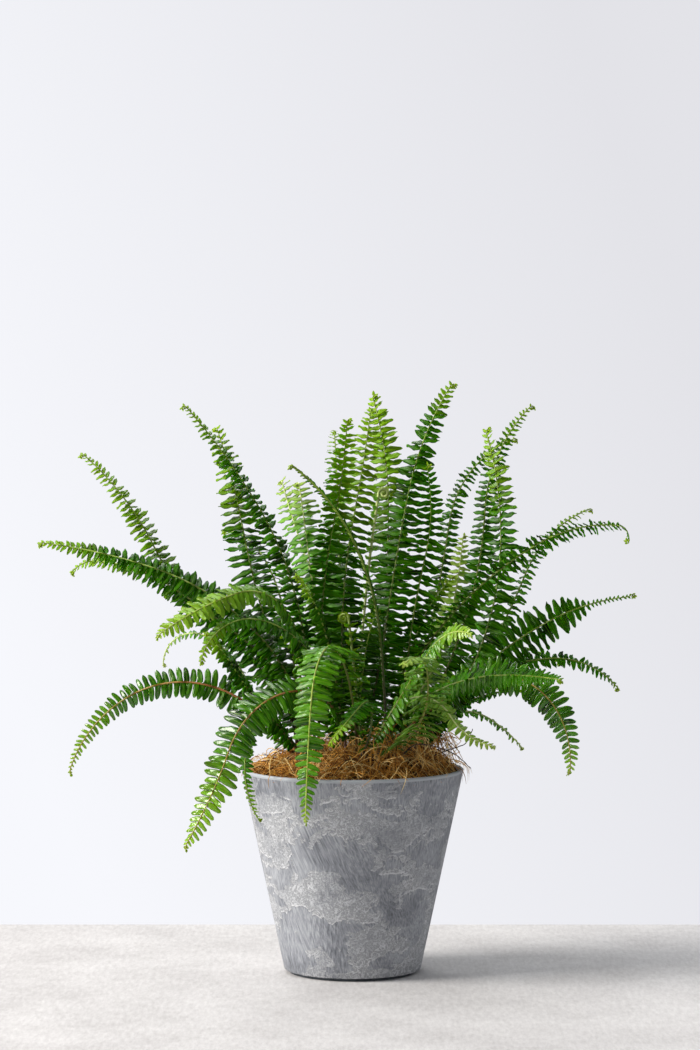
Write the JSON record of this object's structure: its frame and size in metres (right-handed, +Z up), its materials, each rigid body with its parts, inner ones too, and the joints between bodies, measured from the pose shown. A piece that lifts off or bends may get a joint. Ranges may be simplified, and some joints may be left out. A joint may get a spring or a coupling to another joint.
{
  "type": "potted fishbone fern",
  "caption": "Arching fishbone fern fronds growing from crowns in a coir-topped, tapered marbled stone-composite pot.",
  "frame": {"origin": "centre of the pot's underside, on the surface that the pot stands on", "axes": "+Z up along the pot's axis; +X to the right as seen in the picture; +Y away from the camera"},
  "size_m": [0.5927, 0.5319, 0.5835],
  "materials": {
    "pot": "matte, marbled blue-grey with pale patches",
    "potting_mix": "loose and dull",
    "coir": "tangled dry fibre",
    "crown": "scaly",
    "frond_dark": "satin leaf",
    "frond_glossy": "glossy leaf",
    "frond_bright": "satin young leaf",
    "frond_pale": "matte leaf",
    "frond_olive": "matte leaf",
    "crozier": "downy coiled shoot",
    "runner": "wiry stem"
  },
  "bodies": {
    "root": {"pot": "pot", "potting_mix": "potting_mix", "coir_mat": "coir", "crown_left": "crown", "crown_middle": "crown", "crown_right": "crown", "crown_front": "crown", "crown_back": "crown", "frond_tall_left_back": "frond_dark", "frond_tall_left_front": "frond_dark", "frond_far_left_rise": "frond_dark", "frond_left_reach": "frond_dark", "frond_left_under": "frond_dark", "frond_left_arch_bright": "frond_bright", "frond_left_inner_arch": "frond_dark", "frond_left_pale_droop": "frond_pale", "frond_left_mid_dark": "frond_dark", "frond_left_low_arch": "frond_glossy", "frond_left_down": "frond_glossy", "frond_left_small_drop": "frond_dark", "frond_young_diagonal": "frond_dark", "frond_pale_twin_left": "frond_pale", "frond_pale_twin_right": "frond_pale", "frond_tall_centre_left": "frond_dark", "frond_tall_centre": "frond_dark", "frond_tall_centre_peak": "frond_dark", "frond_tall_right_peak": "frond_dark", "frond_broad_centre_right": "frond_dark", "frond_pale_right": "frond_pale", "frond_right_back_arch": "frond_dark", "frond_low_middle_left": "frond_dark", "frond_low_middle_right": "frond_dark", "frond_low_front_left": "frond_dark", "frond_low_back_right": "frond_dark", "frond_right_back_rise": "frond_dark", "frond_tall_far_right": "frond_dark", "frond_right_s_curve": "frond_dark", "frond_right_long_arch": "frond_dark", "frond_right_mid_reach": "frond_dark", "frond_right_low_arch": "frond_dark", "frond_right_front_reach": "frond_dark", "frond_right_front_drop": "frond_glossy", "frond_right_edge_low": "frond_dark", "frond_right_small_droop": "frond_pale", "frond_young_right_curl": "frond_pale", "frond_young_bright_front": "frond_bright", "frond_olive_front": "frond_olive", "frond_front_low_left": "frond_dark", "frond_front_drop": "frond_bright", "frond_back_left_arch": "frond_dark", "frond_back_left_low": "frond_dark", "frond_back_arch": "frond_dark", "frond_back_rise": "frond_dark", "frond_back_low": "frond_glossy", "frond_back_right_reach": "frond_glossy", "frond_back_right_low": "frond_dark", "crozier_centre": "crozier", "crozier_low": "crozier", "runner_side": "runner", "runner_loop": "runner"}
  },
  "joints": []
}
